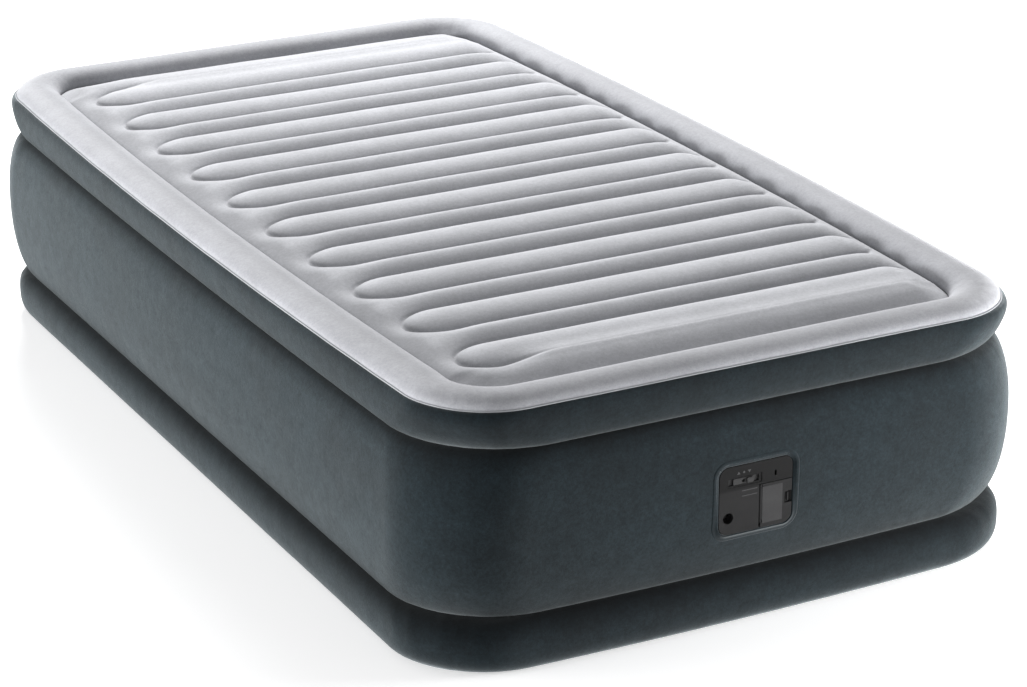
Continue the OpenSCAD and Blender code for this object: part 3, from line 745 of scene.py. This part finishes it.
rim = finish(make_rim(), "flock_light")
rim.data.materials[0] = RIM_SHADED_NAP
surface = finish(make_surface(), "flock_light")
weld = finish(make_bead("rim_weld", WELD, 1.0, 1.5, 1.0, 51), "flock_light")
weld.data.materials[0] = WELDED
top_band = finish(make_top_band(), "flock_dark")
upper_bead = finish(make_bead("upper_weld", UPPER, -0.4, 0.9, 0.8, 52), "flock_dark")
wall = finish(make_wall(), "flock_dark")
lower_bead = finish(make_bead("lower_weld", LOWER, -0.4, 0.9, 0.8, 53), "flock_dark")
base = finish(make_base(), "flock_dark")
bottom = finish(make_bottom(), "base_film")
flange = finish(make_flange(), "soft_ring")
marks = make_marks()
marks.data.materials.append(MARK)

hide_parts("top_sheet")
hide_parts("rim_seam")
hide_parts("top_band")
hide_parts("upper_seam")
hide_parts("middle_wall")
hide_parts("lower_seam")
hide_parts("base_band")
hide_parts("bottom_sheet", "bottom_seam")
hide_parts("mounting_flange")

slot_of = {p["node"]: p["material_slot"] for p in frame["record"]["subparts"]}
PLASTIC_EDGES = {"front_panel", "cord_lid", "lid_latch", "mode_knob", "port_grille", "cord_bay",
                 "blank_label", "pump_housing"}
for node_name, ob in frame["nodes"].items():
    if ob.hide_render:
        continue
    finish(ob, slot_of[node_name])
    if node_name in PLASTIC_EDGES:
        joined = ob.modifiers.new("joined", "WELD")
        joined.merge_threshold = 0.00002
        flat = ob.modifiers.new("flat", "DECIMATE")
        flat.decimate_type = "DISSOLVE"
        flat.angle_limit = math.radians(1)
        soft = ob.modifiers.new("edges", "BEVEL")
        soft.width = (0.12 if node_name == "blank_label" else 0.35) * MM
        soft.segments = 2
        soft.limit_method = "ANGLE"
        soft.angle_limit = math.radians(50)
        ob.modifiers.new("shade", "WEIGHTED_NORMAL").keep_sharp = True


# ---- stage ----


def make_floor():
    mesh = bpy.data.meshes.new("floor")
    s = 40.0
    corners = [(-s, -s, -0.0004), (s, -s, -0.0004), (s, s, -0.0004), (-s, s, -0.0004)]
    mesh.from_pydata(corners, [], [(0, 1, 2, 3)])
    ob = bpy.data.objects.new("floor", mesh)
    scene.collection.objects.link(ob)
    mat = Nodes("floor_paper")
    mat.colour(mat.ramp(mat.noise(2.0), [(0.3, (0.86, 0.86, 0.865)), (0.7, (0.88, 0.88, 0.885))]))
    mat.set(Roughness=0.9, Specular_IOR_Level=0.1, Emission_Color=(1, 1, 1, 1), Emission_Strength=0.46)
    mesh.materials.append(mat.mat)


def area_light(name, azimuth, elevation, distance, size, level, aim=(0, 0, 0.2), colour=(1, 1, 1)):
    """A soft box. level is how strongly it lights a surface that faces it, next to the sky's 1."""
    a, e = math.radians(azimuth), math.radians(elevation)
    back = Vector((math.sin(a) * math.cos(e), math.cos(a) * math.cos(e), math.sin(e)))
    lamp = bpy.data.lights.new(name, "AREA")
    lamp.shape = "RECTANGLE"
    lamp.size, lamp.size_y = size
    lamp.energy = level * math.pi**2 * distance**2
    lamp.color = colour
    ob = bpy.data.objects.new(name, lamp)
    ob.location = Vector(aim) + back * distance
    ob.rotation_euler = (-back).to_track_quat("-Z", "Y").to_euler()
    ob.visible_camera = False
    scene.collection.objects.link(ob)


make_floor()
area_light("key", 26, 32, 4.2, (2.6, 1.8), 2.05)
area_light("left_fill", -84, 6, 5.0, (3.0, 0.9), 1.4)
area_light("right_fill", 128, 8, 1.5, (0.7, 0.5), 3.3, aim=(0.62, -0.85, 0.12))
world = bpy.data.worlds.new("studio")
world.use_nodes = True
world.node_tree.nodes["Background"].inputs[0].default_value = (1, 1, 1, 1)
world.node_tree.nodes["Background"].inputs[1].default_value = 0.36
scene.world = world
scene.view_settings.view_transform = "Standard"


CAMERA_LENS = 110.16
CAMERA_TURN = (-27.41, 21.14, -0.36)  # azimuth, elevation and roll in degrees
CAMERA_TARGET = (-0.0187, -0.2114, 0.190)
CAMERA_DISTANCE = 4.835


def make_camera():
    cam = bpy.data.cameras.new("camera")
    cam.sensor_width = 36.0
    cam.lens = CAMERA_LENS
    ob = bpy.data.objects.new("camera", cam)
    scene.collection.objects.link(ob)
    scene.camera = ob
    a, e, r = (math.radians(v) for v in CAMERA_TURN)
    back = Vector((math.sin(a) * math.cos(e), -math.cos(a) * math.cos(e), math.sin(e)))
    right = Vector((math.cos(a), math.sin(a), 0))
    up = back.cross(right)
    turned_right = math.cos(r) * right + math.sin(r) * up
    turned_up = -math.sin(r) * right + math.cos(r) * up
    place = Vector(CAMERA_TARGET) + back * CAMERA_DISTANCE
    basis = Matrix((turned_right, turned_up, back)).transposed()
    ob.matrix_world = Matrix.Translation(place) @ basis.to_4x4()
    cam.clip_start, cam.clip_end = 0.1, 100


make_camera()
